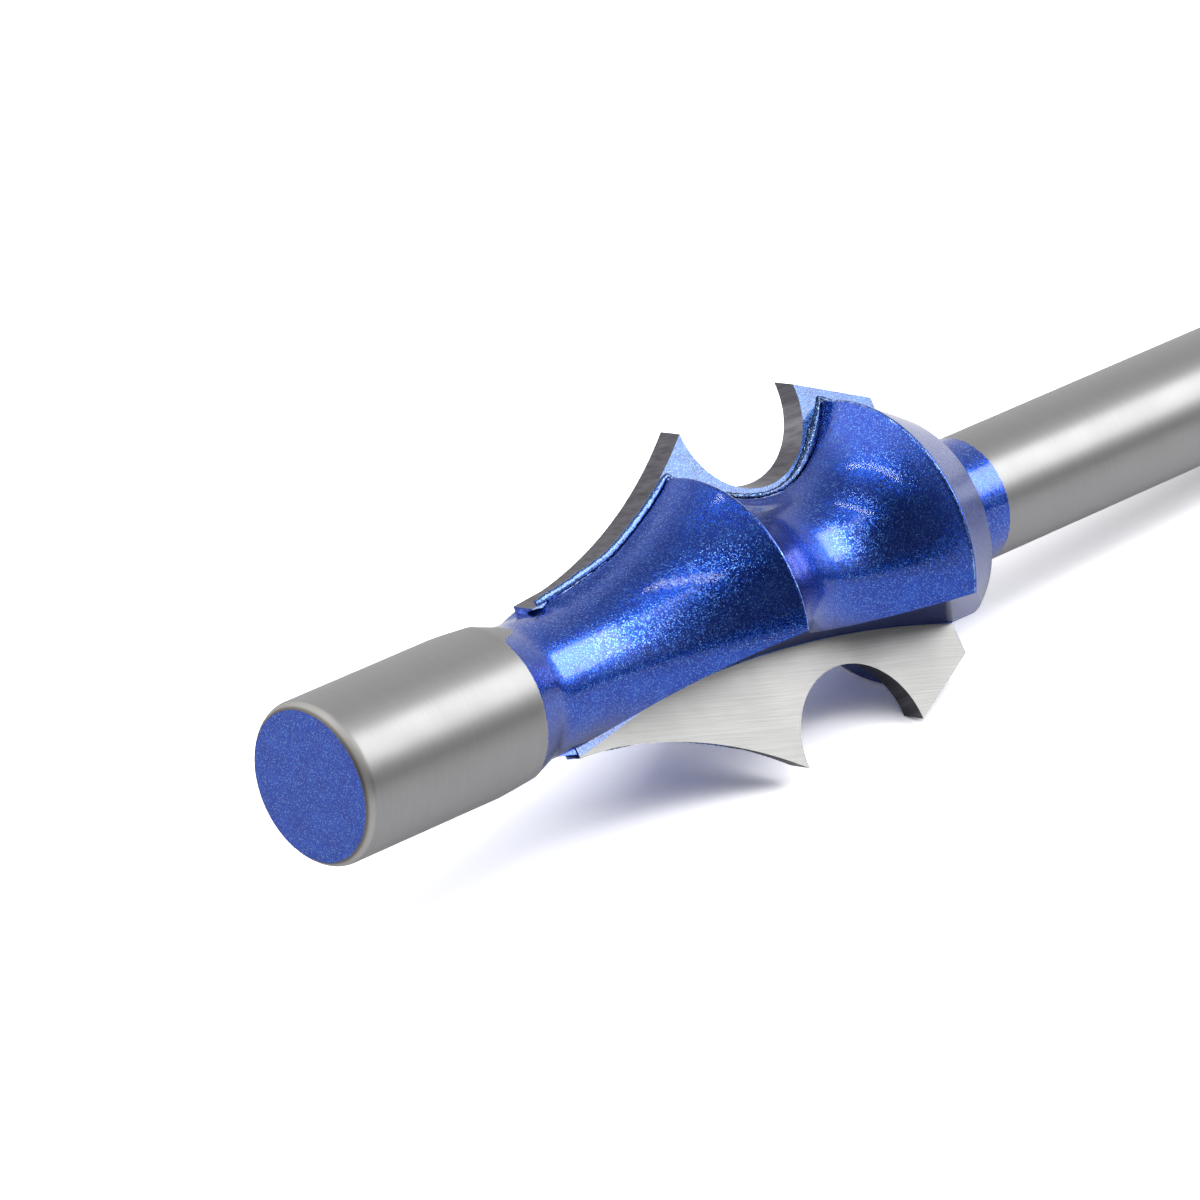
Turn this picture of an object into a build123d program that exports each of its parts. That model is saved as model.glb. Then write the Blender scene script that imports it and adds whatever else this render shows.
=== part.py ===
from build123d import *
from math import acos, atan2, cos, hypot, radians, sin, sqrt, tan
import os

# Router bit with a solid guide pilot, a two-winged profile head and a plain shank.
# Millimetres and degrees. A station is a place along the axis, counted from the pilot's end.

# Steel body, turned in one piece from the pilot to the shank
pilot_diameter = 10.0
pilot_length = 14.1
pilot_chamfer = 0.4
shoulder_length = 2.4
waist_diameter = 8.4
waist_length = 2.5
flare_length = 13.57
front_ridge_diameter = 16.76
groove_length = 13.52
rear_ridge_diameter = 18.2
rear_cone_length = 3.91
rear_face_diameter = 13.7
neck_fillet = 0.5
neck_length = 4.75
shank_diameter = 8.0
shank_length = 55.25
shank_chamfer = 0.5

# Gullets, ground on both sides with a large round wheel that leaves a web across the axis
web_thickness = 6.77
gullet_wheel_radius = 66.7
gullet_low_offset = 10.77
runout_angle = 6.6
grinding_clearance = 1.0

# Carbide tips, each a relieved plate brazed into its gullet with the rake face through the axis.
# The groove wall is the height of the seat that is left behind a tip at the groove's bottom.
tip_thickness = 1.5
braze_thickness = 0.1
groove_wall = 0.54
relief_angle = 22.0
nose_radius = 4.85
nose_length = 2.5
nose_end_radius = 5.05
edge_arc_radius = 29.5
front_peak_offset = 2.26
front_peak_radius = 10.95
cove_bottom_radius = 6.06
rear_peak_offset = 1.41
rear_peak_radius = 11.1
heel_radius = 8.54

# Stations that follow from the lengths
shoulder_end = pilot_length + shoulder_length
flare_start = shoulder_end + waist_length
front_ridge = flare_start + flare_length
rear_ridge = front_ridge + groove_length
head_end = rear_ridge + rear_cone_length
neck_end = head_end + neck_length
overall_length = neck_end + shank_length

pilot_radius = pilot_diameter / 2
waist_radius = waist_diameter / 2
front_ridge_radius = front_ridge_diameter / 2
rear_ridge_radius = rear_ridge_diameter / 2
shank_radius = shank_diameter / 2

# Gullet floor: an arc over its lowest point, then a straight ramp that runs out on the pilot
seat_depth = tip_thickness + braze_thickness
gullet_low = flare_start + gullet_low_offset
ramp_end = gullet_low - gullet_wheel_radius * sin(radians(runout_angle))
ramp_end_height = web_thickness / 2 + gullet_wheel_radius * (1 - cos(radians(runout_angle)))

# Tip profile: the cove lies between two peaks that are set from the body's ridges
front_peak = front_ridge + front_peak_offset
rear_peak = rear_ridge - rear_peak_offset
cove_bottom = (front_peak + rear_peak) / 2
tip_relief = tip_thickness * tan(radians(relief_angle))

# Rest: the shank's end, the rear ridge of one wing and the heel of the lower tip touch the ground.
# The tilt brings shank and ridge down together, and the lean turns the tip's heel down to them.
shank_contact = overall_length - shank_chamfer
tilt = atan2(rear_ridge_radius - shank_radius, shank_contact - rear_ridge)
drop_at_peak = rear_ridge_radius + (rear_ridge - rear_peak) * tan(tilt)
heel_height = rear_peak_radius - tip_relief
lean = atan2(tip_thickness, heel_height) + acos(drop_at_peak / hypot(heel_height, tip_thickness))

# Directions in the resting frame, whose origin is where the lacquered neck meets the bare shank
axis_dir = Vector(cos(tilt), 0, -sin(tilt))
across_up = Vector(sin(tilt), 0, cos(tilt))
rake_normal = across_up * sin(lean) - Vector(0, cos(lean), 0)
pilot_end = axis_dir * -neck_end
bit_axis = Axis(pilot_end, axis_dir)

# Each plane holds one tip's rake face: x is the station, y the distance from the axis, and the
# tip's thickness lies on its z side
tip_planes = {
    "upper": Plane(origin=pilot_end, x_dir=axis_dir, z_dir=rake_normal),
    "lower": Plane(origin=pilot_end, x_dir=axis_dir, z_dir=-rake_normal),
}


def floor_height(station):
    """Distance of the gullet's floor from the axis."""
    if station < ramp_end:
        return ramp_end_height + (ramp_end - station) * tan(radians(runout_angle))
    rise = gullet_wheel_radius - sqrt(gullet_wheel_radius**2 - (station - gullet_low) ** 2)
    return web_thickness / 2 + rise


def draw_floor(first, last):
    """The gullet's floor from one station to another, as a ramp and an arc."""
    Line((first, floor_height(first)), (ramp_end, ramp_end_height))
    ThreePointArc(
        (ramp_end, ramp_end_height),
        (gullet_low, web_thickness / 2),
        (last, floor_height(last)),
    )


def draw_tip(lowered):
    """A tip's outline, standing on the floor, with its ground edge lowered by the relief."""
    nose_end = flare_start + nose_length
    draw_floor(flare_start, head_end)
    Polyline(
        (head_end, floor_height(head_end)),
        (head_end, heel_radius - lowered),
        (rear_peak, rear_peak_radius - lowered),
    )
    ThreePointArc(
        (rear_peak, rear_peak_radius - lowered),
        (cove_bottom, cove_bottom_radius - lowered),
        (front_peak, front_peak_radius - lowered),
    )
    RadiusArc(
        (front_peak, front_peak_radius - lowered),
        (nose_end, nose_end_radius - lowered),
        edge_arc_radius,
    )
    Polyline(
        (nose_end, nose_end_radius - lowered),
        (flare_start, nose_radius - lowered),
        (flare_start, floor_height(flare_start)),
    )


# The groove between the ridges is as deep as the seats of the tips allow
groove_bottom = (front_ridge + rear_ridge) / 2
groove_radius = hypot(floor_height(groove_bottom) + groove_wall, seat_depth)

# Turned blank: the body's full outline before the gullets are ground
with BuildPart() as turned_blank:
    with BuildSketch(tip_planes["upper"]):
        with BuildLine():
            Polyline(
                (0, 0),
                (0, pilot_radius - pilot_chamfer),
                (pilot_chamfer, pilot_radius),
                (pilot_length, pilot_radius),
                (shoulder_end, waist_radius),
                (flare_start, waist_radius),
            )
            TangentArc(
                (flare_start, waist_radius),
                (front_ridge, front_ridge_radius),
                tangent=(1, 0),
            )
            ThreePointArc(
                (front_ridge, front_ridge_radius),
                (groove_bottom, groove_radius),
                (rear_ridge, rear_ridge_radius),
            )
            Polyline(
                (rear_ridge, rear_ridge_radius),
                (head_end, rear_face_diameter / 2),
                (head_end, shank_radius + neck_fillet),
            )
            RadiusArc(
                (head_end, shank_radius + neck_fillet),
                (head_end + neck_fillet, shank_radius),
                -neck_fillet,
            )
            Polyline(
                (head_end + neck_fillet, shank_radius),
                (overall_length - shank_chamfer, shank_radius),
                (overall_length, shank_radius - shank_chamfer),
                (overall_length, 0),
                (0, 0),
            )
        make_face()
    revolve(axis=bit_axis)

# Body: a gullet on each side, open at its front and walled behind its tip
runout_start = ramp_end - (pilot_radius - ramp_end_height) / tan(radians(runout_angle))
first = runout_start - grinding_clearance
last = head_end + grinding_clearance
top = rear_ridge_radius + grinding_clearance
with BuildPart() as body:
    add(turned_blank.part)
    for plane in tip_planes.values():
        with BuildSketch(plane.offset(seat_depth)):
            with BuildLine():
                draw_floor(first, last)
                Polyline((last, floor_height(last)), (last, top), (first, top), (first, floor_height(first)))
            make_face()
        extrude(amount=-(seat_depth + top), mode=Mode.SUBTRACT)
body.part.label = "body"
os.makedirs("parts", exist_ok=True)
export_step(body.part, "parts/body.step")

# Tips and the braze film that holds each one to its wall
for side, plane in tip_planes.items():
    with BuildPart() as tip:
        with BuildSketch(plane):
            with BuildLine():
                draw_tip(0)
            make_face()
        with BuildSketch(plane.offset(tip_thickness)):
            with BuildLine():
                draw_tip(tip_relief)
            make_face()
        loft(ruled=True)
    tip.part.label = side + "_tip"
    export_step(tip.part, "parts/" + side + "_tip.step")

    with BuildPart() as braze:
        with BuildSketch(plane.offset(tip_thickness)):
            with BuildLine():
                draw_tip(tip_relief)
            make_face()
        extrude(amount=braze_thickness)
        add(turned_blank.part, mode=Mode.INTERSECT)
    braze.part.label = side + "_braze"
    export_step(braze.part, "parts/" + side + "_braze.step")
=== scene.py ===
import math

import bmesh
import bpy
from mathutils import Matrix, Vector


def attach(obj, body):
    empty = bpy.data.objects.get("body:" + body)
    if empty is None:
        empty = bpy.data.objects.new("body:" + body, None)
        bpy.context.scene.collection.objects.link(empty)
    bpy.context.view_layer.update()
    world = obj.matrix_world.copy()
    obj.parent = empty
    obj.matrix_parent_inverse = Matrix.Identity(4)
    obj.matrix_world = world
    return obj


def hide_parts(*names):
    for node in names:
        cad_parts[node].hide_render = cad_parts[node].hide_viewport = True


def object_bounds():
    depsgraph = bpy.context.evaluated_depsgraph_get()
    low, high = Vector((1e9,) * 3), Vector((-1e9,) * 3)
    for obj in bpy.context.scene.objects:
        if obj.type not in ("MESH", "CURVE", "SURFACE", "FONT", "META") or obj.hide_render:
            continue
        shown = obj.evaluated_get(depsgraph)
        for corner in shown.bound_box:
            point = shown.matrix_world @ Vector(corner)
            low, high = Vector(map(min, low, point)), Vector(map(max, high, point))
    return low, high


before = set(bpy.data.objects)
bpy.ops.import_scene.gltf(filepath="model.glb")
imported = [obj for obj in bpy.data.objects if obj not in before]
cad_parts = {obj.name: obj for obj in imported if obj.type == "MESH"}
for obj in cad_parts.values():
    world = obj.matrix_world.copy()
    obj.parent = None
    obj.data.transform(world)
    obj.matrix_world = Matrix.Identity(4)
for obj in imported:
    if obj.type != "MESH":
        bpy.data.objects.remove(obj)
cad_low, cad_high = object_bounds()


# Steel body. It is one bar of tool steel, turned with its pilot, waist, two-ridged head and shank,
# and then ground on both sides by a large round wheel, which leaves a web between two wings. It is
# made as rings of points across the bit's axis, with every edge broken as lacquer leaves it.
MM = 0.001
pilot_radius, pilot_length, pilot_chamfer = 5.0, 14.1, 0.4
shoulder_end, waist_radius, flare_start = 16.5, 4.2, 19.0
front_ridge, front_ridge_radius = 32.57, 8.38
rear_ridge, rear_ridge_radius = 46.09, 9.1
head_end, rear_face_radius = 50.0, 6.85
neck_fillet, neck_end = 0.5, 54.75
shank_radius, shank_chamfer, overall_length = 4.0, 0.5, 110.0
web_half, wheel_radius, gullet_low, runout = 3.385, 66.7, 29.77, math.radians(6.6)
tip_thickness, seat_depth, groove_wall, relief_angle = 1.5, 1.6, 0.54, math.radians(22)
rear_peak, rear_peak_radius = 44.68, 11.1

tip_relief = tip_thickness * math.tan(relief_angle)
ramp_end = gullet_low - wheel_radius * math.sin(runout)
ramp_end_height = web_half + wheel_radius * (1 - math.cos(runout))


def floor_height(station):
    """Distance of a gullet's floor from the axis, in millimetres, out of reach behind the head."""
    if station < ramp_end:
        return ramp_end_height + (ramp_end - station) * math.tan(runout)
    if station > head_end:
        return overall_length
    return web_half + wheel_radius - math.sqrt(wheel_radius**2 - (station - gullet_low) ** 2)


def circle_through(a, b, c):
    """Centre and radius of the circle through three points."""
    d = 2 * (a[0] * (b[1] - c[1]) + b[0] * (c[1] - a[1]) + c[0] * (a[1] - b[1]))
    a2, b2, c2 = (p[0] ** 2 + p[1] ** 2 for p in (a, b, c))
    x = (a2 * (b[1] - c[1]) + b2 * (c[1] - a[1]) + c2 * (a[1] - b[1])) / d
    y = (a2 * (c[0] - b[0]) + b2 * (a[0] - c[0]) + c2 * (b[0] - a[0])) / d
    return x, y, math.hypot(a[0] - x, a[1] - y)


# The bit lies tilted on its shank's end and rear ridge, and leaned over on the heel of a tip
tilt = math.atan2(rear_ridge_radius - shank_radius, overall_length - shank_chamfer - rear_ridge)
drop_at_peak = rear_ridge_radius + (rear_ridge - rear_peak) * math.tan(tilt)
heel_height = rear_peak_radius - tip_relief
lean = math.atan2(tip_thickness, heel_height)
lean += math.acos(drop_at_peak / math.hypot(heel_height, tip_thickness))
axis_dir = Vector((math.cos(tilt), 0, -math.sin(tilt)))
across_up = Vector((math.sin(tilt), 0, math.cos(tilt)))
wing_dir = across_up * math.cos(lean) + Vector((0, math.sin(lean), 0))
rake_normal = across_up * math.sin(lean) - Vector((0, math.cos(lean), 0))


def place(station, across, thick):
    """A point of the bit, from its station and its place across the axis, in the resting frame."""
    return (axis_dir * (station - neck_end) + wing_dir * across + rake_normal * thick) * MM


groove_bottom = (front_ridge + rear_ridge) / 2
groove_radius = math.hypot(floor_height(groove_bottom) + groove_wall, seat_depth)
groove_arc = circle_through(
    (front_ridge, front_ridge_radius),
    (groove_bottom, groove_radius),
    (rear_ridge, rear_ridge_radius),
)
flare_rise = front_ridge_radius - waist_radius
flare_bend = ((front_ridge - flare_start) ** 2 + flare_rise**2) / (2 * flare_rise)


def radius_at(station):
    """Radius of the turned outline."""
    if station < pilot_chamfer:
        return pilot_radius - pilot_chamfer + station
    if station < pilot_length:
        return pilot_radius
    if station < shoulder_end:
        slope = (pilot_radius - waist_radius) / (shoulder_end - pilot_length)
        return pilot_radius - (station - pilot_length) * slope
    if station < flare_start:
        return waist_radius
    if station < front_ridge:
        return waist_radius + flare_bend - math.sqrt(flare_bend**2 - (station - flare_start) ** 2)
    if station < rear_ridge:
        return groove_arc[1] - math.sqrt(groove_arc[2] ** 2 - (station - groove_arc[0]) ** 2)
    if station < head_end:
        fall = (rear_ridge_radius - rear_face_radius) / (head_end - rear_ridge)
        return rear_ridge_radius - (station - rear_ridge) * fall
    if station < overall_length - shank_chamfer:
        return shank_radius
    return overall_length - station + shank_radius - shank_chamfer


# Each corner of the outline with how far it is eased on either side, and the regions between them
# with the spacing of their rings, which is close from where the gullets run out on the pilot
runout_start, ridge_break, rear_break, corner_rings = 11.8, 0.16, 0.1, 8
corners = {
    pilot_chamfer: 0.3,
    pilot_length: 0.2,
    shoulder_end: 0.5,
    front_ridge: ridge_break,
    rear_ridge: ridge_break,
    overall_length - shank_chamfer: 0.1,
}
spacing = [
    (0.0, pilot_chamfer, 0.1),
    (pilot_chamfer, runout_start, 0.6),
    (runout_start, flare_start, 0.12),
    (flare_start, head_end - rear_break, 0.22),
    (head_end + neck_fillet, neck_end, 0.3),
    (neck_end, overall_length, 2.5),
]
outline = []
for first, last, step in spacing:
    count = max(2, round((last - first) / step))
    for k in range(count + 1):
        station = first + (last - first) * k / count
        if all(abs(station - c) >= reach for c, reach in corners.items()) or station == first == 0:
            outline.append((station, radius_at(station)))
for corner, reach in corners.items():
    before, peak, after = (radius_at(corner + way) for way in (-reach, 0, reach))
    for k in range(corner_rings + 1):
        t = k / corner_rings
        radius = before * (1 - t) ** 2 + 2 * peak * t * (1 - t) + after * t * t
        outline.append((corner - reach + 2 * reach * t, radius))
outline = sorted(set((round(s, 5), round(r, 6)) for s, r in outline))

# Rear face of the head, from its broken edge down to the fillet round the neck
edge_dip, face_rings = 0.05, 8
edge = radius_at(head_end - rear_break)
face_top, face_foot = edge - rear_break - edge_dip, shank_radius + neck_fillet
rear_face = [
    (
        head_end - rear_break + rear_break * t,
        edge - rear_break * (1 - math.sqrt(1 - t**2)) - edge_dip * t,
    )
    for t in (0.25, 0.5, 0.75, 1.0)
]
rear_face += [
    (head_end, face_top - k * (face_top - face_foot) / face_rings) for k in range(1, face_rings + 1)
]
rear_face += [
    (
        head_end + neck_fillet * (1 - math.cos(math.radians(turn))),
        shank_radius + neck_fillet * (1 - math.sin(math.radians(turn))),
    )
    for turn in range(10, 90, 10)
]
split = next(i for i, (s, r) in enumerate(outline) if s > head_end)
outline[split:split] = rear_face

# Flat ends of the pilot and the shank
end_rings, end_margin = 6, 0.05
pilot_rim, shank_rim = pilot_radius - pilot_chamfer, shank_radius - shank_chamfer
pilot_face = [(0.0, pilot_rim * k / end_rings) for k in range(1, end_rings)]
pilot_face.append((0.0, pilot_rim - end_margin))
shank_face = [(overall_length, shank_rim * k / end_rings) for k in range(end_rings - 1, 0, -1)]
outline = pilot_face + outline + shank_face


def bend(centre, radius, start, end, steps):
    """Points on an arc in the ring's plane, from one angle to another."""
    turn = [start + (end - start) * k / steps for k in range(steps + 1)]
    return [(centre[0] + radius * math.cos(a), centre[1] + radius * math.sin(a)) for a in turn]


def read_off(values, station):
    """A value between two entries of a list of (station, value) pairs."""
    for (s0, v0), (s1, v1) in zip(values, values[1:]):
        if s0 <= station <= s1:
            return v0 + (v1 - v0) * (station - s0) / (s1 - s0)
    return 0.0


# Height to which solder has pooled on the wing's edge, from the waist to the rear face
pool = [
    (17.6, 0.0), (19.2, 0.42), (23.3, 0.46), (26.0, 0.27), (29.0, 0.24), (31.6, 0.08),
    (32.5, 0.0), (33.2, 0.1), (34.6, 0.45), (36.6, 0.6), (37.7, 0.5), (39.0, 0.33),
    (40.3, 0.18), (41.8, 0.13), (43.3, 0.12), (45.8, 0.0),
]
pool_spread = 0.5
wing_break, lobe_break = 0.16, 0.14
arc_steps, floor_steps, wall_steps, corner_steps = 76, 14, 8, 6


def ring(station, radius):
    """One ring of the body: two lobes, two gullet floors and two seat walls.

    A break gets smaller where its lobe or its wall is low.
    """
    floor = min(floor_height(station), radius)
    half = math.sqrt(max(radius**2 - floor**2, 0))
    seat = min(seat_depth, half)
    wall = math.sqrt(max(radius**2 - seat**2, 0)) - floor
    lobe = min(lobe_break, 0.4 * half)
    lobe_side = math.sqrt(max((radius - lobe) ** 2 - (floor - lobe) ** 2, 0))
    lobe_turn = math.atan2(lobe_side, floor - lobe)
    if half > seat_depth:
        wing = min(wing_break, 0.8 * wall)
        wing_side = math.sqrt(max((radius - wing) ** 2 - (seat + wing) ** 2, 0))
        wing_turn = math.atan2(seat + wing, wing_side)
        points = bend((wing_side, seat + wing), wing, -math.pi / 2, wing_turn, corner_steps)
    else:
        wing_turn = lobe_turn
        points = bend((floor - lobe, lobe_side), lobe, 0, wing_turn, corner_steps)
    points += bend((0, 0), radius, wing_turn, math.pi - lobe_turn, arc_steps)[1:-1]
    rise = read_off(pool, station)
    points = [
        (w + rise * math.exp(-(((n - seat) / pool_spread) ** 2)), n) if w > 0 else (w, n)
        for w, n in points
    ]
    points += bend((lobe - floor, lobe_side), lobe, math.pi - lobe_turn, math.pi, corner_steps)
    foot = (-floor, -(seat if half > seat_depth else lobe_side))
    last = (-points[0][0], -points[0][1])
    top = points[-1]
    points += [
        (-floor, top[1] + (foot[1] - top[1]) * k / floor_steps) for k in range(1, floor_steps + 1)
    ]
    points += [
        tuple(a + (b - a) * k / wall_steps for a, b in zip(foot, last))
        for k in range(1, wall_steps)
    ]
    return points + [(-w, -n) for w, n in points]


def lacquer_edge(across, thick):
    """Station where the lacquer starts, which is further back beside the upper run-out."""
    front, setback, middle, half_angle, fade = 14.17, 2.1, -4, 58, 20
    angle = abs(math.degrees(math.atan2(thick, across)) - middle)
    t = min(max((half_angle - angle) / fade, 0), 1)
    return front + setback * t * t * (3 - 2 * t)


def shaded_mesh(name, points, faces, sharp):
    """A closed mesh with its doubles merged, its faces turned outwards and its sharp edges kept.

    Each point comes with how far it is into the bare steel and with how near it is to a ridge. An
    edge is sharp from the given angle on, in degrees.
    """
    mesh = bpy.data.meshes.new(name)
    mesh.from_pydata([p[0] for p in points], [], faces)
    for label, column in (("bare", 1), ("rim", 2)):
        layer = mesh.attributes.new(label, "FLOAT", "POINT")
        layer.data.foreach_set("value", [p[column] for p in points])
    work = bmesh.new()
    work.from_mesh(mesh)
    bmesh.ops.remove_doubles(work, verts=work.verts, dist=0.002 * MM)
    bmesh.ops.recalc_face_normals(work, faces=work.faces)
    work.to_mesh(mesh)
    work.free()
    mesh.polygons.foreach_set("use_smooth", [True] * len(mesh.polygons))
    mesh.set_sharp_from_angle(angle=math.radians(sharp))
    piece = bpy.data.objects.new(name, mesh)
    bpy.context.scene.collection.objects.link(piece)
    return piece


# Points within this distance of a surface count as on it
tolerance = 0.02
points, faces = [], []
for station, radius in outline:
    loop = ring(station, radius)
    for across, thick in loop:
        if station == 0:
            bare = radius - (pilot_rim - tolerance)
        elif station < gullet_low:
            bare = lacquer_edge(across, thick) - station
        else:
            bare = station - neck_end
        on_outline = math.hypot(across, thick) > radius - tolerance
        from_ridge = min(abs(station - front_ridge), abs(station - rear_ridge))
        rim = max(0.0, 1 - from_ridge / ridge_break) if on_outline else 0.0
        points.append((place(station, across, thick), bare, rim))
size = len(loop)
for i in range(len(outline) - 1):
    for j in range(size):
        a, b = i * size + j, i * size + (j + 1) % size
        faces.append((a, b, b + size, a + size))
for start, station, bare in ((0, 0.0, -1.0), (len(points) - size, overall_length, 1.0)):
    hub = len(points)
    points.append((place(station, 0, 0), bare, 0.0))
    faces += [(start + (j + 1) % size, start + j, hub) for j in range(size)]
bit_body = shaded_mesh("bit_body", points, faces, 32)


def colour(code):
    """Linear colour of an sRGB hex value."""
    parts = [int(code[i : i + 2], 16) / 255 for i in (1, 3, 5)]
    return [c / 12.92 if c <= 0.04045 else ((c + 0.055) / 1.055) ** 2.4 for c in parts] + [1]


def add(tree, kind, inputs=None, **settings):
    """Adds a node with its settings, values and links."""
    made = tree.nodes.new(kind)
    for key, value in settings.items():
        setattr(made, key, value)
    for key, value in (inputs or {}).items():
        if isinstance(value, bpy.types.NodeSocket):
            tree.links.new(value, made.inputs[key])
        else:
            made.inputs[key].default_value = value
    return made


def new_finish(name):
    """An empty material and its tree, with an output."""
    material = bpy.data.materials.new(name)
    material.use_nodes = True
    material.node_tree.nodes.clear()
    return material, material.node_tree, add(material.node_tree, "ShaderNodeOutputMaterial")


def flake_lacquer(tree, deep, light, flake, flake_share):
    """Blue metallic lacquer: aluminium flakes in a tinted base under a clear coat.

    The flakes are 0.02 to 0.05 mm in life and are drawn at 0.06 mm, so that they show. Each one
    leans its own way, which makes the sparkle. The base is cloudy over about 1 mm, and the coat
    has an orange peel of 0.4 mm.
    """
    flakes_per_metre, lean_spread, coat_relief = 17000.0, 0.21, 0.007 * MM
    where = add(tree, "ShaderNodeTexCoord").outputs["Object"]
    normal = add(tree, "ShaderNodeNewGeometry").outputs["Normal"]
    flakes = add(tree, "ShaderNodeTexVoronoi", {"Vector": where, "Scale": flakes_per_metre})
    way = add(
        tree, "ShaderNodeVectorMath",
        {0: flakes.outputs["Color"], 1: (0.5, 0.5, 0.5)}, operation="SUBTRACT",
    )
    lean_by = add(
        tree, "ShaderNodeVectorMath", {0: way.outputs[0], "Scale": lean_spread}, operation="SCALE"
    )
    leaned = add(tree, "ShaderNodeVectorMath", {0: lean_by.outputs[0], 1: normal}, operation="ADD")
    facet = add(tree, "ShaderNodeVectorMath", {0: leaned.outputs[0]}, operation="NORMALIZE")
    cloud = add(tree, "ShaderNodeTexNoise", {"Vector": where, "Scale": 900.0, "Detail": 3.0})
    thickness = add(
        tree, "ShaderNodeMapRange",
        {
            "Value": cloud.outputs[0], "From Min": 0.3, "From Max": 0.7,
            "To Min": 0.15, "To Max": 0.85,
        },
    )
    tinted = add(
        tree, "ShaderNodeMix",
        {0: thickness.outputs[0], 6: colour(deep), 7: colour(light)}, data_type="RGBA",
    )
    pick = add(tree, "ShaderNodeSeparateColor", {0: flakes.outputs["Color"]})
    bright = add(
        tree, "ShaderNodeMapRange",
        {
            "Value": pick.outputs[0], "From Min": 1 - flake_share, "From Max": 1.05,
            "To Max": 1.0,
        },
    )
    base = add(
        tree, "ShaderNodeMix",
        {0: bright.outputs[0], 6: tinted.outputs[2], 7: colour(flake)}, data_type="RGBA",
    )
    peel = add(tree, "ShaderNodeTexNoise", {"Vector": where, "Scale": 2600.0, "Detail": 3.0})
    grit = add(
        tree, "ShaderNodeMath",
        {0: flakes.outputs["Distance"], 1: 0.2, 2: peel.outputs[0]}, operation="MULTIPLY_ADD",
    )
    skin = add(
        tree, "ShaderNodeBump",
        {"Height": grit.outputs[0], "Strength": 1.0, "Distance": coat_relief},
    )
    shader = add(
        tree, "ShaderNodeBsdfPrincipled",
        {
            "Base Color": base.outputs[2], "Metallic": 0.95, "Roughness": 0.25,
            "Normal": facet.outputs[0], "Coat Weight": 1.0, "Coat Roughness": 0.05,
            "Coat IOR": 1.43, "Coat Normal": skin.outputs[0],
        },
    )
    return shader, where, base


def ground_steel(tree, tint, where, grain, marks, rough, contrast):
    """Bare steel or carbide as a wheel leaves it, with grinding marks along one direction.

    The grain is the number of marks to a metre along each coordinate, the marks are the strength
    of their bump, and the contrast is how far they darken the tint.
    """
    mark_depth, duller, glossier = 0.01 * MM, 0.02, 0.015
    fine = add(tree, "ShaderNodeVectorMath", {0: where, 1: grain}, operation="MULTIPLY")
    lines = add(
        tree, "ShaderNodeTexNoise",
        {"Vector": fine.outputs[0], "Scale": 1.0, "Detail": 4.0, "Roughness": 0.6},
    )
    blotch = add(tree, "ShaderNodeTexNoise", {"Vector": where, "Scale": 350.0, "Detail": 3.0})
    worn = add(
        tree, "ShaderNodeMapRange",
        {
            "Value": blotch.outputs[0], "From Min": 0.3, "From Max": 0.7,
            "To Min": rough - glossier, "To Max": rough + duller,
        },
    )
    shade = add(
        tree, "ShaderNodeMapRange",
        {
            "Value": lines.outputs[0], "From Min": 0.3, "From Max": 0.7,
            "To Min": 1 - contrast, "To Max": 1 + contrast / 2,
        },
    )
    tinted = add(
        tree, "ShaderNodeVectorMath",
        {0: colour(tint)[:3], "Scale": shade.outputs[0]}, operation="SCALE",
    )
    bump = add(
        tree, "ShaderNodeBump",
        {"Height": lines.outputs[0], "Strength": marks, "Distance": mark_depth},
    )
    return add(
        tree, "ShaderNodeBsdfPrincipled",
        {
            "Base Color": tinted.outputs[0], "Metallic": 1.0, "Roughness": worn.outputs[0],
            "Normal": bump.outputs[0],
        },
    )


def along_bit(tree, where, slant=0.0):
    """Coordinates that follow the bit: station, across the wing and out of the rake face."""
    parts = [
        add(
            tree, "ShaderNodeVectorMath", {0: where, 1: tuple(way)}, operation="DOT_PRODUCT"
        ).outputs["Value"]
        for way in (axis_dir, wing_dir + axis_dir * slant, rake_normal)
    ]
    return add(tree, "ShaderNodeCombineXYZ", dict(enumerate(parts))).outputs[0]


def from_origin(station):
    """Where a station lies along the axis in the frame, in metres."""
    return (station - neck_end) * MM


# Lacquered tool steel: gloss metallic blue on the head, the neck and the pilot's end face, and bare
# centreless-ground steel on the pilot and the shank, whose fine rings run round the axis. They are
# drawn 0.1 mm apart, coarser than in life, so that they show. The lacquer ends in a ragged line
# where the masking was. Along the two ridges it is painted pale, partly wear and partly a painted
# highlight of the ridges' glint.
head_lacquer = ("#0E35A2", "#1A4EC0", "#689CEC", 0.27)
steel, tree, out = new_finish("lacquered_steel")
paint, where, base = flake_lacquer(tree, *head_lacquer)
rim = add(tree, "ShaderNodeAttribute", attribute_name="rim").outputs["Fac"]
chips = add(tree, "ShaderNodeTexNoise", {"Vector": where, "Scale": 3800.0, "Detail": 3.0})
chipped = add(tree, "ShaderNodeMath", {0: rim, 1: chips.outputs[0]}, operation="MULTIPLY")
ridge_wear_and_highlight_mask = add(
    tree, "ShaderNodeMapRange", {"Value": chipped.outputs[0], "From Min": 0.38, "From Max": 0.5}
)
# Pale colour along the ridges: wear, and a painted highlight of their glint
worn_ridge_painted_highlight = add(
    tree, "ShaderNodeMix",
    {0: ridge_wear_and_highlight_mask.outputs[0], 6: base.outputs[2], 7: colour("#8FB6F2")}, data_type="RGBA",
)
tree.links.new(worn_ridge_painted_highlight.outputs[2], paint.inputs["Base Color"])

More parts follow.
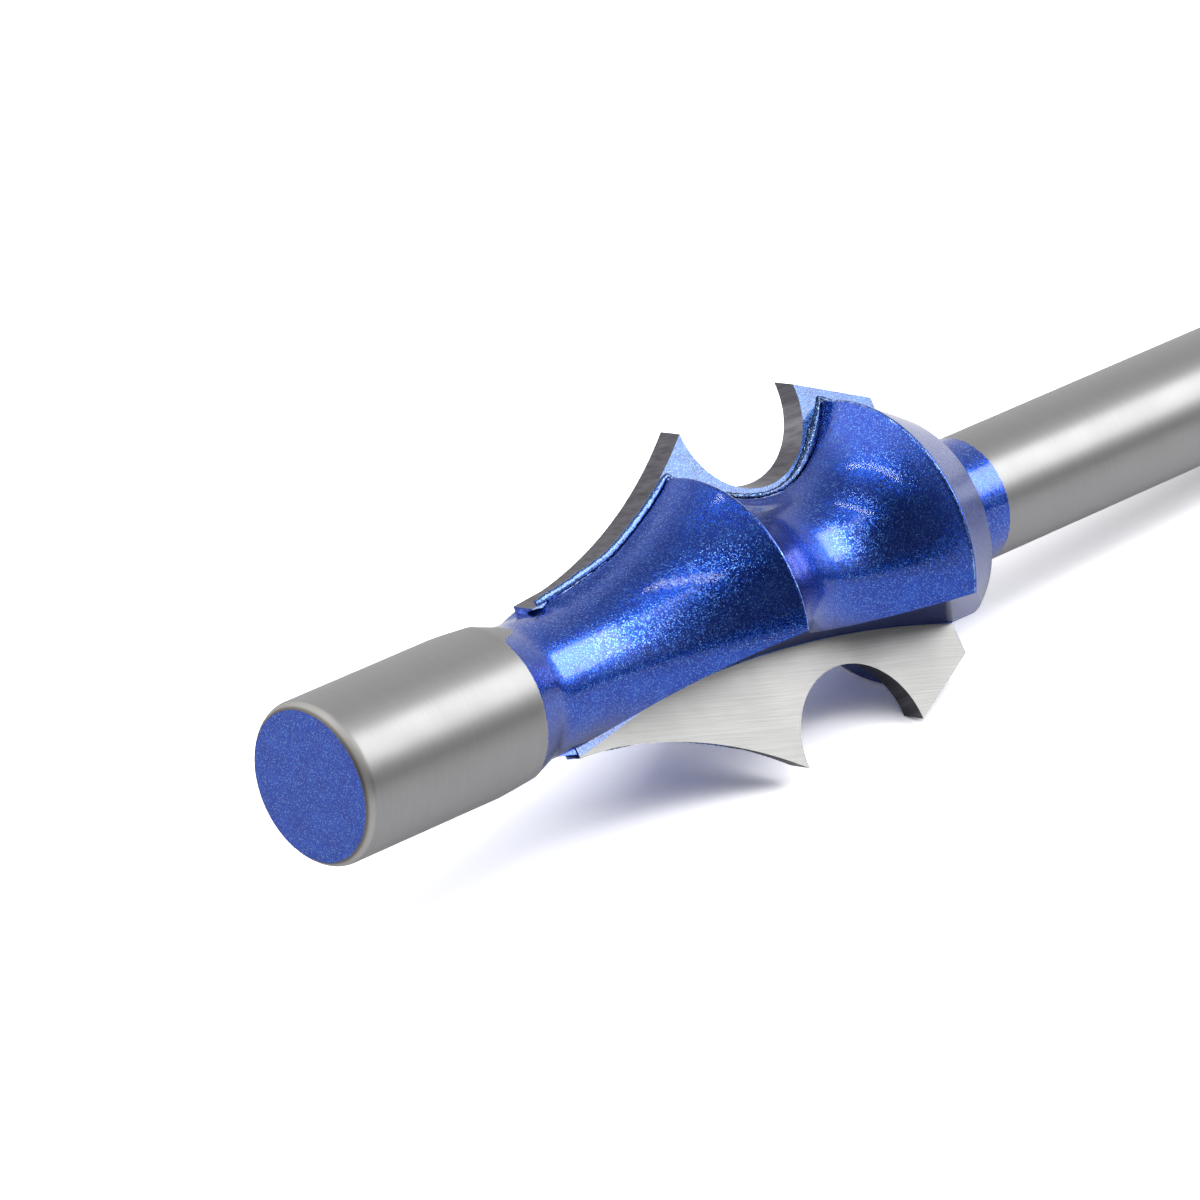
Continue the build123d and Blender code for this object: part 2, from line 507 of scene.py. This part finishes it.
bit_coords = along_bit(tree, where)
bright_steel = ground_steel(tree, "#ACACAC", bit_coords, (9000.0, 400.0, 400.0), 0.03, 0.48, 0.05)
steel_tint = bright_steel.inputs["Base Color"].links[0].from_socket
steel_roughness = bright_steel.inputs["Roughness"].links[0].from_socket
along = add(tree, "ShaderNodeCombineXYZ", dict(enumerate(axis_dir)))
bright_steel.inputs["Anisotropic"].default_value = 0.75
tree.links.new(along.outputs[0], bright_steel.inputs["Tangent"])

# The pilot's chamfer is duller than its side and painted paler, a painted highlight of the light it
# catches, with a thin brown line at the end face
from_neck = add(tree, "ShaderNodeSeparateXYZ", {0: bit_coords}).outputs[0]
chamfer_dull_and_highlight = add(
    tree, "ShaderNodeMapRange",
    {
        "Value": from_neck, "From Min": from_origin(0.5), "From Max": from_origin(0.38),
        "To Max": 0.55,
    },
)
stain = add(
    tree, "ShaderNodeMapRange",
    {
        "Value": from_neck, "From Min": from_origin(0.2), "From Max": from_origin(0.06),
        "To Max": 0.75,
    },
)
chamfer_painted_highlight = add(
    tree, "ShaderNodeMix",
    {0: chamfer_dull_and_highlight.outputs[0], 6: steel_tint, 7: colour("#CFCDC8")}, data_type="RGBA",
)
stained = add(
    tree, "ShaderNodeMix",
    {0: stain.outputs[0], 6: chamfer_painted_highlight.outputs[2], 7: colour("#5E5348")}, data_type="RGBA",
)
duller = add(
    tree, "ShaderNodeMath", {0: chamfer_dull_and_highlight.outputs[0], 1: steel_roughness}, operation="MAXIMUM"
)
tree.links.new(stained.outputs[2], bright_steel.inputs["Base Color"])
tree.links.new(duller.outputs[0], bright_steel.inputs["Roughness"])

# The line between lacquer and steel wanders by 0.15 mm
bare = add(tree, "ShaderNodeAttribute", attribute_name="bare").outputs["Fac"]
ragged = add(
    tree, "ShaderNodeTexNoise",
    {"Vector": where, "Scale": 3000.0, "Detail": 3.0, "Roughness": 0.7},
)
jitter = add(tree, "ShaderNodeMath", {0: ragged.outputs[0], 1: 0.5}, operation="SUBTRACT")
line = add(
    tree, "ShaderNodeMath", {0: jitter.outputs[0], 1: 0.3, 2: bare}, operation="MULTIPLY_ADD"
)
is_bare = add(
    tree, "ShaderNodeMapRange", {"Value": line.outputs[0], "From Min": -0.02, "From Max": 0.03}
)
mixed = add(
    tree, "ShaderNodeMixShader",
    {0: is_bare.outputs[0], 1: paint.outputs[0], 2: bright_steel.outputs[0]},
)
tree.links.new(mixed.outputs[0], out.inputs[0])

# Painted shade on the gullets' floors: they get a dark, matt lacquer without flakes, which paints
# the shade they lie in. It turns into the gloss lacquer of the head at the rear corners of each
# floor.
gullet_shade, tree, out = new_finish("painted_shade_in_gullet")
gloss, where = flake_lacquer(tree, *head_lacquer)[:2]
cloud = add(tree, "ShaderNodeTexNoise", {"Vector": where, "Scale": 700.0, "Detail": 3.0})
painted_shade_tint = add(
    tree, "ShaderNodeMix",
    {0: cloud.outputs[0], 6: colour("#080F34"), 7: colour("#162A68")}, data_type="RGBA",
)
matt_painted_shade = add(
    tree, "ShaderNodeBsdfPrincipled",
    {"Base Color": painted_shade_tint.outputs[2], "Roughness": 0.6, "Specular IOR Level": 0.15},
)
parts = add(tree, "ShaderNodeSeparateXYZ", {0: along_bit(tree, where)}).outputs
aside = add(tree, "ShaderNodeMath", {0: parts[2]}, operation="ABSOLUTE")
slanted = add(
    tree, "ShaderNodeMath", {0: aside.outputs[0], 1: 0.8, 2: parts[0]}, operation="MULTIPLY_ADD"
)
past = add(
    tree, "ShaderNodeMapRange",
    {
        "Value": slanted.outputs[0],
        "From Min": from_origin(head_end - 0.5), "From Max": from_origin(head_end + 0.1),
    },
)
shade_to_gloss = add(
    tree, "ShaderNodeMixShader", {0: past.outputs[0], 1: matt_painted_shade.outputs[0], 2: gloss.outputs[0]}
)
tree.links.new(shade_to_gloss.outputs[0], out.inputs[0])

bit_body.data.materials.append(steel)
bit_body.data.materials.append(gullet_shade)
# The gullets' floors on the head get the painted shade
for polygon in bit_body.data.polygons:
    station = polygon.center.dot(axis_dir) / MM + neck_end
    across = abs(polygon.center.dot(wing_dir)) / MM
    thick = polygon.center.dot(rake_normal) / MM
    within = math.hypot(across, thick) < radius_at(station) - tolerance
    on_floor = within and abs(across - floor_height(station)) < tolerance
    if flare_start < station < head_end and on_floor:
        polygon.material_index = 1
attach(bit_body, "root")
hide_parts("body")


# Carbide tips. Each is a sintered tungsten carbide plate, ground on its rake face and on the
# relieved edge that cuts the moulding, with its back, nose and foot still under the lacquer.
nose_radius, nose_length, nose_end_radius, edge_bend = 4.85, 2.5, 5.05, 29.5
front_peak, front_peak_radius, cove_bottom_radius, heel_radius = 34.83, 10.95, 6.06, 8.54
strip_width, strip_bulge, strip_length, back_strip = 0.08, 0.46, 7.2, 0.03
nose_end = flare_start + nose_length
cove_bottom = (front_peak + rear_peak) / 2
nose_steps, edge_steps, cove_steps, heel_steps, rows = 6, 60, 90, 16, 10


def line_points(first, last, steps):
    """Points on a straight line, both ends included."""
    return [tuple(a + (b - a) * k / steps for a, b in zip(first, last)) for k in range(steps + 1)]


def arc_points(first, last, bend_radius, steps):
    """Points on an arc of a given radius that bulges towards the axis."""
    mid = ((first[0] + last[0]) / 2, (first[1] + last[1]) / 2)
    chord = (last[0] - first[0], last[1] - first[1])
    length = math.hypot(*chord)
    rise = math.sqrt(bend_radius**2 - length**2 / 4)
    centre = (mid[0] - chord[1] / length * rise, mid[1] + chord[0] / length * rise)
    start = math.atan2(first[1] - centre[1], first[0] - centre[0])
    end = math.atan2(last[1] - centre[1], last[0] - centre[0])
    return bend(centre, bend_radius, start, end, steps)


def painted_strip(station):
    """Width of the strip along the foot of the rake face that the grinding didn't reach."""
    past = max(station - flare_start, 0) / strip_length
    return strip_width + max(0.0, strip_bulge * (1 - past**1.5))


cove = circle_through(
    (front_peak, front_peak_radius),
    (cove_bottom, cove_bottom_radius),
    (rear_peak, rear_peak_radius),
)
cove_start = math.atan2(front_peak_radius - cove[1], front_peak - cove[0])
cove_end = math.atan2(rear_peak_radius - cove[1], rear_peak - cove[0])
nose, front_corner = (nose_end, nose_end_radius), (front_peak, front_peak_radius)
edge_line = line_points((flare_start, nose_radius), nose, nose_steps)[:-1]
edge_line += arc_points(nose, front_corner, edge_bend, edge_steps)
edge_line += bend(cove[:2], cove[2], cove_start, cove_end, cove_steps)[1:]
edge_line += line_points((rear_peak, rear_peak_radius), (head_end, heel_radius), heel_steps)[1:]

tips = {}
for side, sign in (("upper", 1), ("lower", -1)):
    points, faces = [], []
    for thick, lowered in ((0.0, 0.0), (tip_thickness, tip_relief)):
        for station, top in edge_line:
            foot = floor_height(min(max(station, flare_start), head_end))
            strip = min(painted_strip(station), 0.9 * (top - foot)) if thick == 0 else back_strip
            for k in range(rows + 1):
                up = foot + strip + (top - lowered - foot - strip) * (k - 1) / (rows - 1)
                across = up if k else foot
                points.append((place(station, sign * across, sign * thick), -1.0, 0.0))
    count, layer = len(edge_line), len(edge_line) * (rows + 1)
    for i in range(count - 1):
        for k in range(rows):
            a = i * (rows + 1) + k
            faces.append((a, a + 1, a + rows + 2, a + rows + 1))
            faces.append((a + layer, a + rows + 1 + layer, a + rows + 2 + layer, a + 1 + layer))
        for k in (0, rows):
            a = i * (rows + 1) + k
            faces.append((a, a + rows + 1, a + rows + 1 + layer, a + layer))
    for i in (0, count - 1):
        for k in range(rows):
            a = i * (rows + 1) + k
            faces.append((a, a + layer, a + 1 + layer, a + 1))
    tips[side] = shaded_mesh(side + "_carbide_tip", points, faces, 25)

# Ground carbide of the rake face: a diamond wheel leaves it an even grey, with fine scratches that
# run along the bit and wander a little. They are drawn 0.07 mm apart, coarser than in life, so
# that they show.
rake, tree, out = new_finish("ground_carbide_face")
where = add(tree, "ShaderNodeTexCoord").outputs["Object"]
wander = add(tree, "ShaderNodeTexNoise", {"Vector": where, "Scale": 60.0, "Detail": 1.0})
drift = add(
    tree, "ShaderNodeVectorMath", {0: wander.outputs[1], "Scale": 1.2 * MM}, operation="SCALE"
)
bent = add(
    tree, "ShaderNodeVectorMath",
    {0: along_bit(tree, where, 0.25), 1: drift.outputs[0]}, operation="ADD",
)
face_shader = ground_steel(
    tree, "#969695", bent.outputs[0], (220.0, 14000.0, 900.0), 0.5, 0.44, 0.14
)
tree.links.new(face_shader.outputs[0], out.inputs[0])

# Ground relief of the edge: a darker grey carbide, with the wheel's streaks, 0.4 mm wide, across
# the plate's thickness
relief, tree, out = new_finish("ground_carbide_edge")
where = add(tree, "ShaderNodeTexCoord").outputs["Object"]
edge_shader = ground_steel(
    tree, "#737178", along_bit(tree, where), (2600.0, 2600.0, 100.0), 0.4, 0.32, 0.4
)
tree.links.new(edge_shader.outputs[0], out.inputs[0])

# Lacquer on the unground strip at the foot of the rake face, thick with flakes and paler than on
# the body, and a darker, greyer copy of it on the backs of the plates, painted shade that dims the
# light they mirror
plate_finishes = []
for name, lacquer in (
    ("lacquered_carbide", ("#20386E", "#304C8A", "#7494D4", 0.42)),
    ("lacquer_on_carbide_painted_shade", ("#142C58", "#22447A", "#6490CC", 0.42)),
):
    material, tree, out = new_finish(name)
    paint = flake_lacquer(tree, *lacquer)[0]
    tree.links.new(paint.outputs[0], out.inputs[0])
    plate_finishes.append(material)

# Numbers of the finishes on a tip, in the order in which they are added to it, and how squarely a
# face of the plate looks along its thickness, where it counts as rake face or back
ON_RAKE, ON_EDGE, ON_STRIP, ON_NOSE, IN_SHADE, ON_BACK = range(6)
squarely, foot_strip = 0.9, 0.05
for side, sign in (("upper", 1), ("lower", -1)):
    tip = tips[side]
    for material in (rake, relief, plate_finishes[0], steel, gullet_shade, plate_finishes[1]):
        tip.data.materials.append(material)
    for polygon in tip.data.polygons:
        centre = polygon.center / MM
        station = centre.dot(axis_dir) + neck_end
        across = sign * centre.dot(wing_dir)
        facing = sign * polygon.normal.dot(rake_normal)
        if facing < -squarely:
            in_strip = across - floor_height(station) < painted_strip(station)
            polygon.material_index = ON_STRIP if in_strip else ON_RAKE
        # The lower tip's nose lies in shade and gets the gullets' painted shade, the upper one the
        # head's lacquer
        elif station < flare_start + tolerance / 2:
            polygon.material_index = ON_NOSE if sign > 0 else IN_SHADE
        # The backs get the darker lacquer, which is painted shade
        elif facing > squarely:
            polygon.material_index = ON_BACK
        elif across < floor_height(station) + foot_strip:
            polygon.material_index = ON_STRIP
        else:
            polygon.material_index = ON_EDGE
    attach(tip, "root")
    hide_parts(side + "_tip")


# Braze. A film of silver solder holds each tip to its wall, and stands out along the seat as a
# rounded, slightly lumpy bead, which the lacquer covers with the rest.
bead_tree = bpy.data.node_groups.new("braze_bead", "GeometryNodeTree")
bead_tree.interface.new_socket("Path", in_out="INPUT", socket_type="NodeSocketGeometry")
bead_inputs = {}
for label, kind, value in (
    ("Width", "NodeSocketFloat", 1.0),
    ("Step", "NodeSocketFloat", 0.07 * MM),
    ("Lump height", "NodeSocketFloat", 0.2 * MM),
    ("Seed", "NodeSocketFloat", 4.0),
    ("Finish", "NodeSocketMaterial", None),
):
    bead_inputs[label] = bead_tree.interface.new_socket(label, in_out="INPUT", socket_type=kind)
    if value is not None:
        bead_inputs[label].default_value = value
bead_tree.interface.new_socket("Bead", in_out="OUTPUT", socket_type="NodeSocketGeometry")
given = add(bead_tree, "NodeGroupInput").outputs
path_line = add(bead_tree, "GeometryNodeMeshToCurve", {0: given["Path"]})
even_line = add(
    bead_tree, "GeometryNodeResampleCurve",
    {"Curve": path_line.outputs[0], "Length": given["Step"]}, mode="LENGTH",
)
half_width = add(
    bead_tree, "GeometryNodeInputNamedAttribute", {"Name": "half_width"}, data_type="FLOAT"
)
round_shape = add(
    bead_tree, "GeometryNodeCurvePrimitiveCircle", {"Resolution": 14, "Radius": given["Width"]}
)
tube = add(
    bead_tree, "GeometryNodeCurveToMesh",
    {
        "Curve": even_line.outputs[0], "Profile Curve": round_shape.outputs[0],
        "Scale": half_width.outputs[0], "Fill Caps": True,
    },
)
lumps = add(
    bead_tree, "ShaderNodeTexNoise",
    {"W": given["Seed"], "Scale": 3800.0, "Detail": 2.0}, noise_dimensions="4D",
)
centred = add(bead_tree, "ShaderNodeMath", {0: lumps.outputs[0], 1: 0.5}, operation="SUBTRACT")
height = add(
    bead_tree, "ShaderNodeMath", {0: centred.outputs[0], 1: given["Lump height"]},
    operation="MULTIPLY",
)
outwards = add(bead_tree, "GeometryNodeInputNormal")
push = add(
    bead_tree, "ShaderNodeVectorMath", {0: outwards.outputs[0], "Scale": height.outputs[0]},
    operation="SCALE",
)
moved = add(
    bead_tree, "GeometryNodeSetPosition", {"Geometry": tube.outputs[0], "Offset": push.outputs[0]}
)
real = add(bead_tree, "GeometryNodeRealizeInstances", {0: moved.outputs[0]})
dressed = add(
    bead_tree, "GeometryNodeSetMaterial",
    {"Geometry": real.outputs[0], "Material": given["Finish"]},
)
add(bead_tree, "NodeGroupOutput", {0: dressed.outputs[0]})

# Lacquer over silver solder: deep and glossy, painted darker than the head's as painted shade, and
# painted paler along the bead of the flare as painted light
solder, tree, out = new_finish("lacquered_braze_painted_shade")
paint, where, base = flake_lacquer(tree, "#06204C", "#104078", "#98C4F8", 0.14)
from_neck = add(tree, "ShaderNodeSeparateXYZ", {0: along_bit(tree, where)}).outputs[0]
# Paler towards the flare: painted light
front = add(
    tree, "ShaderNodeMapRange",
    {
        "Value": from_neck, "From Min": from_origin(33.5), "From Max": from_origin(31.5),
        "To Max": 0.6,
    },
)
bead_painted_light = add(
    tree, "ShaderNodeMix",
    {0: front.outputs[0], 6: base.outputs[2], 7: colour("#4A6EB4")}, data_type="RGBA",
)
tree.links.new(bead_painted_light.outputs[2], paint.inputs["Base Color"])
tree.links.new(paint.outputs[0], out.inputs[0])

# Width of the bead at stations along the seat, how much of it stands proud of the seat, how far
# its middle lies from the rake face, and how much it is flattened towards the seam
bead_width = [
    (19.0, 0.26), (20.2, 0.5), (29.0, 0.52), (31.9, 0.5), (32.57, 0.34), (35.0, 0.36),
    (39.0, 0.32), (41.5, 0.4), (43.0, 0.6), (44.7, 0.85), (45.6, 0.5), (46.09, 0.34),
    (50.0, 0.3),
]
bead_proud, bead_seam, bead_flattening = 0.42, tip_thickness + 0.04, 0.4
bead_start, bead_end, bead_step = flare_start + 0.4, head_end - 0.05, 0.1
for side, sign in (("upper", 1), ("lower", -1)):
    path, widths = [], []
    station = bead_start
    while station < bead_end:
        width = read_off(bead_width, station)
        reach = math.sqrt(radius_at(station) ** 2 - seat_depth**2)
        reach += read_off(pool, station) + bead_proud * width
        path.append(place(station, sign * reach, sign * bead_seam))
        widths.append(width / 2 * MM)
        station += bead_step
    mesh = bpy.data.meshes.new(side + "_bead_path")
    mesh.from_pydata(path, [(i, i + 1) for i in range(len(path) - 1)], [])
    mesh.attributes.new("half_width", "FLOAT", "POINT").data.foreach_set("value", widths)
    carrier = bpy.data.objects.new(side + "_bead_path", mesh)
    bpy.context.scene.collection.objects.link(carrier)
    made = carrier.modifiers.new("bead", "NODES")
    made.node_group = bead_tree
    made[bead_inputs["Seed"].identifier] = 4.0 + sign
    made[bead_inputs["Finish"].identifier] = solder
    evaluated = carrier.evaluated_get(bpy.context.evaluated_depsgraph_get())
    bead_mesh = bpy.data.meshes.new_from_object(evaluated)
    bpy.data.objects.remove(carrier)
    for vertex in bead_mesh.vertices:
        from_seam = vertex.co.dot(rake_normal) - sign * bead_seam * MM
        vertex.co -= rake_normal * from_seam * bead_flattening
    bead_mesh.polygons.foreach_set("use_smooth", [True] * len(bead_mesh.polygons))
    bead = bpy.data.objects.new(side + "_braze_bead", bead_mesh)
    bpy.context.scene.collection.objects.link(bead)
    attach(bead, "root")
    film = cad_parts[side + "_braze"]
    film.data.materials.clear()
    film.data.materials.append(solder)


# Table. It is a matt board, which the camera sees as plain white under the bit's shadow, and the
# bit as pale grey, so that the ground steel shows a shaded flank above it.
table_half = 1.5
table_mesh = bpy.data.meshes.new("table")
table_mesh.from_pydata(
    [(x, y, cad_low.z) for x, y in (
        (-table_half, -table_half), (table_half, -table_half),
        (table_half, table_half), (-table_half, table_half),
    )],
    [], [(0, 1, 2, 3)],
)
table = bpy.data.objects.new("table", table_mesh)
bpy.context.scene.collection.objects.link(table)
white, tree, out = new_finish("white_table")
pale_grey = add(tree, "ShaderNodeBsdfDiffuse", {"Color": colour("#C0C0C2")})
plain_white = add(tree, "ShaderNodeBsdfDiffuse", {"Color": (1.52, 1.52, 1.56, 1)})
by_camera = add(tree, "ShaderNodeLightPath").outputs["Is Camera Ray"]
seen = add(
    tree, "ShaderNodeMixShader", {0: by_camera, 1: pale_grey.outputs[0], 2: plain_white.outputs[0]}
)
tree.links.new(seen.outputs[0], out.inputs[0])
table_mesh.materials.append(white)


# Studio lights. A large soft light with a weaker halo stands at the right, a long one over it, and
# two narrow ones overhead draw the lines of light on the lacquer.
head_middle_station = 40
head_middle = place(head_middle_station, 0, 0)


def lamp(name, direction, distance, along, width, height, radiance):
    """A rectangular soft light that faces the head from a direction, with its sizes in metres."""
    back = Vector(direction).normalized()
    side = (Vector(along) - back * Vector(along).dot(back)).normalized()
    data = bpy.data.lights.new(name, "AREA")
    data.shape, data.size, data.size_y = "RECTANGLE", width, height
    data.energy = radiance * math.pi * width * height
    light = bpy.data.objects.new(name, data)
    turn = Matrix((side, back.cross(side), back)).transposed().to_4x4()
    light.matrix_world = Matrix.Translation(back * distance + head_middle) @ turn
    bpy.context.scene.collection.objects.link(light)


lamp("key_softbox", (0.63, -0.47, 0.61), 0.5, (0.1, 0.71, 0.42), 0.32, 0.2, 5.7)
lamp("key_halo", (0.56, -0.54, 0.63), 0.55, (0.7, 0.7, 0), 0.46, 0.42, 0.75)
lamp("long_softbox", (0.33, -0.42, 0.85), 0.52, (0.75, 0.1, -0.25), 0.32, 0.07, 2.0)
lamp("overhead_strip", (-0.4, 0.2, 0.87), 0.5, (-0.56, -0.7, -0.16), 0.42, 0.008, 32.0)
lamp("overhead_bar", (0.1, -0.2, 0.97), 0.5, (-0.5, -0.75, -0.1), 0.34, 0.008, 28.0)

# Room. The walls are pale, darker on the camera's side, low down and overhead, with a window at the
# far left. The camera sees it all as white, and matt surfaces get an even light from above.
world = bpy.data.worlds.new("pale_room")
world.use_nodes = True
tree = world.node_tree
tree.nodes.clear()
generated = add(tree, "ShaderNodeTexCoord").outputs["Generated"]
toward = add(tree, "ShaderNodeVectorMath", {0: generated}, operation="NORMALIZE").outputs[0]
height = add(tree, "ShaderNodeSeparateXYZ", {0: toward}).outputs[2]
parts = {"low": height}
for part, way in (
    ("dark_side", (-0.54, -0.76, 0.36)),
    ("front", (0.55, -0.83, 0.0)),
    ("window", (-0.58, 0.6, 0.55)),
):
    parts[part] = add(
        tree, "ShaderNodeVectorMath", {0: toward, 1: way}, operation="DOT_PRODUCT"
    ).outputs["Value"]
for part, first, last, before, after in (
    ("dark_side", 0.4, 0.88, 0.8, 0.12),
    ("low", 0.02, 0.26, 0.05, 1.0),
    ("front", 0.1, 0.6, 0.0, 1.0),
    ("window", 0.84, 0.97, 0.0, 1.0),
):
    parts[part] = add(
        tree, "ShaderNodeMapRange",
        {
            "Value": parts[part], "From Min": first, "From Max": last,
            "To Min": before, "To Max": after,
        },
        interpolation_type="SMOOTHSTEP",
    ).outputs[0]
skirting = add(
    tree, "ShaderNodeMix", {0: parts["front"], 2: 1.0, 3: parts["low"]}, data_type="FLOAT"
)
ceiling = add(
    tree, "ShaderNodeMapRange",
    {"Value": height, "From Min": 0.5, "From Max": 0.85, "To Min": 1.0, "To Max": 0.5},
)
walls = parts["dark_side"]
for shade in (ceiling, skirting):
    walls = add(
        tree, "ShaderNodeMath", {0: walls, 1: shade.outputs[0]}, operation="MULTIPLY"
    ).outputs[0]
walls = add(tree, "ShaderNodeMath", {0: walls, 1: parts["window"]}, operation="ADD").outputs[0]
even_light = add(
    tree, "ShaderNodeMapRange",
    {"Value": height, "From Min": 0.72, "From Max": 0.97, "To Min": 0.23, "To Max": 2.9},
)
seen_by = add(tree, "ShaderNodeLightPath").outputs
lit = add(
    tree, "ShaderNodeMix",
    {0: seen_by["Is Diffuse Ray"], 2: walls, 3: even_light.outputs[0]}, data_type="FLOAT",
)
level = add(
    tree, "ShaderNodeMix",
    {0: seen_by["Is Camera Ray"], 2: lit.outputs[0], 3: 1.0}, data_type="FLOAT",
)
room = add(
    tree, "ShaderNodeBackground", {"Color": (1, 1, 1, 1), "Strength": level.outputs[0]}
)
add(tree, "ShaderNodeOutputWorld", {0: room.outputs[0]})
bpy.context.scene.world = world
bpy.context.scene.view_settings.view_transform = "Standard"

# Camera, fitted to the ellipse of the pilot's end face and to the sides of pilot and shank
camera_right = Vector((0.704793, -0.709117, -0.0204))
camera_up = Vector((0.374091, 0.347069, 0.860006))
camera_back = Vector((-0.602763, -0.613759, 0.509886))
camera_place = Vector((-319.535, -293.666, 250.471)) * MM
camera_data = bpy.data.cameras.new("camera")
camera_data.sensor_width = 36.0
camera_data.lens = 246.0
camera_data.clip_start, camera_data.clip_end = 0.01, 20.0
camera = bpy.data.objects.new("camera", camera_data)
turn = Matrix((camera_right, camera_up, camera_back)).transposed().to_4x4()
camera.matrix_world = Matrix.Translation(camera_place) @ turn
bpy.context.scene.collection.objects.link(camera)
bpy.context.scene.camera = camera
